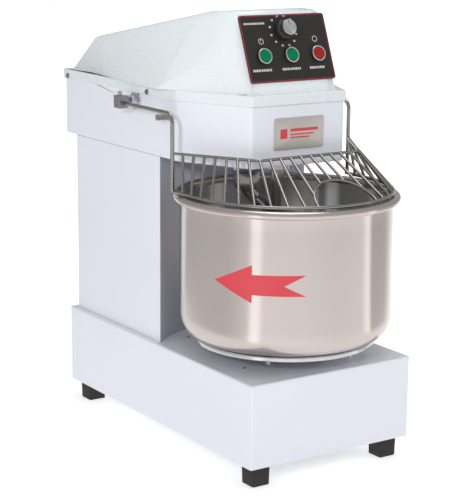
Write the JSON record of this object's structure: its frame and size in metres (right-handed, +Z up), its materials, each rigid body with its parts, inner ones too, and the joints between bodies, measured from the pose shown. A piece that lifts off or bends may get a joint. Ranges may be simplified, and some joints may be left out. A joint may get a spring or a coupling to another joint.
{
  "type": "spiral dough mixer",
  "caption": "Upright spiral dough mixer with a turning steel bowl under a lifting wire guard, a spiral hook, a sloped control panel and a box base on feet.",
  "frame": {"origin": "bottom centre of the machine's outline, on the floor under the feet", "axes": "+Z up, the front with the bowl and controls faces -Y, +X is on the right seen from the front"},
  "size_m": [0.384, 0.689, 0.7553],
  "materials": {
    "paint": "powder coat, satin, lavender white",
    "cover": "moulded cover, satin gloss, cool white",
    "bowl_steel": "brushed stainless",
    "bright": "polished stainless or plated",
    "dark": "black, matte",
    "rubber": "black rubber",
    "iron": "machined or cast, oiled",
    "belt": "black rubber belt",
    "plate": "brushed anodised plate, blank",
    "button_green": "green, glossy",
    "button_red": "red, glossy"
  },
  "bodies": {
    "frame": {"base_shell": "paint", "column_shell": "paint", "column_back_panel": "paint", "head_body": "paint", "cable_gland": "dark", "top_cover": "cover", "name_plate": "plate", "bowl_bearing_housing": "iron", "spindle_housing": "dark", "breaker_bar": "bowl_steel", "drive_plate": "iron", "bowl_chain": "iron", "transfer_chain": "iron", "hook_chain": "iron", "v_belt": "belt", "transfer_bearing": "iron", "motor_body": "iron", "electrics_box": "dark", "guard_switch": "dark", "guard_flange_l": "bright", "guard_flange_r": "bright", "stop_peg_l": "bright", "stop_peg_r": "bright", "control_panel": "dark", "timer_body": "dark", "foot_1": "rubber", "cover_screw_1": "bright", "foot_2": "rubber", "cover_screw_2": "bright", "foot_3": "rubber", "cover_screw_3": "bright", "foot_4": "rubber", "cover_screw_4": "bright", "button_bezel_1": "bright", "button_bezel_2": "bright", "button_bezel_3": "bright"},
    "bowl": {"bowl": "bowl_steel", "turntable": "bright", "bowl_sprocket": "iron", "bowl_bolt_1": "bright", "bowl_bolt_2": "bright", "bowl_bolt_3": "bright", "bowl_bolt_4": "bright", "bowl_bolt_5": "bright", "bowl_bolt_6": "bright"},
    "hook": {"spiral_hook": "bowl_steel", "hook_shaft": "bright", "hook_double_sprocket": "iron"},
    "transfer": {"transfer_shaft": "bright", "transfer_sprocket": "iron"},
    "counter": {"countershaft": "bright", "counter_pulley": "iron"},
    "motor_rotor": {"motor_rotor": "bright"},
    "guard": {"guard_grille": "bright", "clamp_block_l": "bright", "clamp_block_r": "bright"},
    "knob": {"timer_knob": "bright"},
    "button_1": {"push_button_1": "button_green"},
    "button_2": {"push_button_2": "button_green"},
    "button_3": {"push_button_3": "button_red"}
  },
  "joints": [
    {"name": "bowl_spin", "type": "hinge", "parent": "frame", "child": "bowl", "pos_m": [0, -0.1525, 0.2], "axis": [0, 0, -1], "continuous": true},
    {"name": "hook_spin", "type": "hinge", "parent": "frame", "child": "hook", "pos_m": [-0.02, -0.0621, 0.48], "axis": [0, 0, -1], "continuous": true},
    {"name": "transfer_spin", "type": "hinge", "parent": "frame", "child": "transfer", "pos_m": [0.088, 0.0839, 0.3], "axis": [0, 0, -1], "continuous": true},
    {"name": "counter_spin", "type": "hinge", "parent": "frame", "child": "counter", "pos_m": [0, 0.0779, 0.56], "axis": [0, 0, -1], "continuous": true},
    {"name": "motor_spin", "type": "hinge", "parent": "frame", "child": "motor_rotor", "pos_m": [0, 0.2299, 0.56], "axis": [0, 0, -1], "continuous": true},
    {"name": "guard_lift", "type": "hinge", "parent": "frame", "child": "guard", "pos_m": [0, 0.0849, 0.594], "axis": [-1, 0, 0], "range_deg": [0, 80]},
    {"name": "timer_turn", "type": "hinge", "parent": "frame", "child": "knob", "pos_m": [-0.0025, -0.1452, 0.72772], "axis": [0, 0.9305, -0.3662], "range_deg": [0, 300]},
    {"name": "button_1_press", "type": "slide", "parent": "frame", "child": "button_1", "axis": [0, 0.9305, -0.3662], "range_m": [0, 0.0035], "stiffness_N_per_m": 500, "springref_m": -0.002},
    {"name": "button_2_press", "type": "slide", "parent": "frame", "child": "button_2", "axis": [0, 0.9305, -0.3662], "range_m": [0, 0.0035], "stiffness_N_per_m": 500, "springref_m": -0.002},
    {"name": "button_3_press", "type": "slide", "parent": "frame", "child": "button_3", "axis": [0, 0.9305, -0.3662], "range_m": [0, 0.0035], "stiffness_N_per_m": 500, "springref_m": -0.002}
  ],
  "couplings": [
    {"joint": "hook_spin", "follows": "bowl_spin", "ratio": 10},
    {"joint": "transfer_spin", "follows": "bowl_spin", "ratio": 6},
    {"joint": "counter_spin", "follows": "bowl_spin", "ratio": 17.647},
    {"joint": "motor_spin", "follows": "bowl_spin", "ratio": 70.588}
  ]
}
